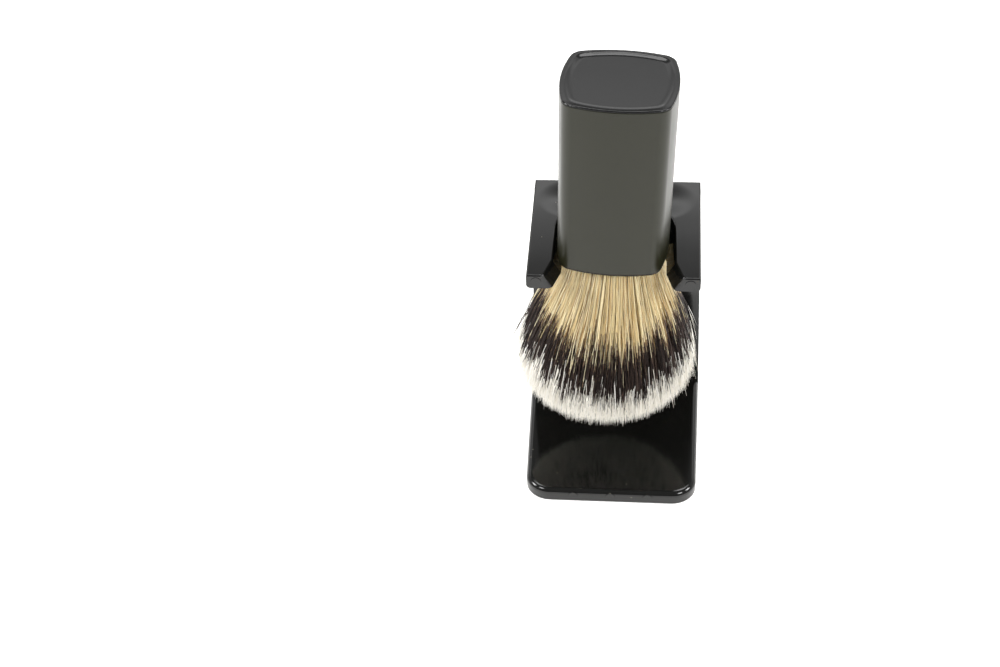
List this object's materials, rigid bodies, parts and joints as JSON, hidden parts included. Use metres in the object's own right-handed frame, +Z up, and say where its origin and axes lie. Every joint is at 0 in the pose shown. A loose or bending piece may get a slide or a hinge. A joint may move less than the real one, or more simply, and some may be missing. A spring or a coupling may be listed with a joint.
{
  "type": "shaving brush on stand",
  "caption": "Shaving brush with a rounded-square satin handle and a banded fibre knot, hanging hair-down in a one-piece forked stand.",
  "frame": {"origin": "on the floor, under the middle of the object's box at rest", "axes": "+Z up along the brush; the stand's mouth opens towards -Y and its upright is on the +Y side; +X to the right seen from the mouth"},
  "size_m": [0.0501, 0.0511, 0.119],
  "materials": {
    "stand_plastic": "gloss",
    "handle_plastic": "satin",
    "cap_plastic": "satin",
    "steel": "machined",
    "adhesive": "matte",
    "cup_plastic": "gloss",
    "resin": "gloss",
    "thread": "waxed",
    "fibre": "fine synthetic fibre"
  },
  "bodies": {
    "stand": {"stand": "stand_plastic"},
    "brush": {"handle_shell": "handle_plastic", "handle_end_cap": "cap_plastic", "ballast_weight": "steel", "cap_screw": "steel", "screw_washer": "steel", "knot_adhesive": "adhesive", "knot_cup": "cup_plastic", "knot_resin_plug": "resin", "knot_binding": "thread", "knot_fibres": "fibre"}
  },
  "joints": [
    {"name": "brush_withdraw", "type": "slide", "parent": "stand", "child": "brush", "axis": [0, -1, 0], "range_m": [0, 0.05]}
  ]
}
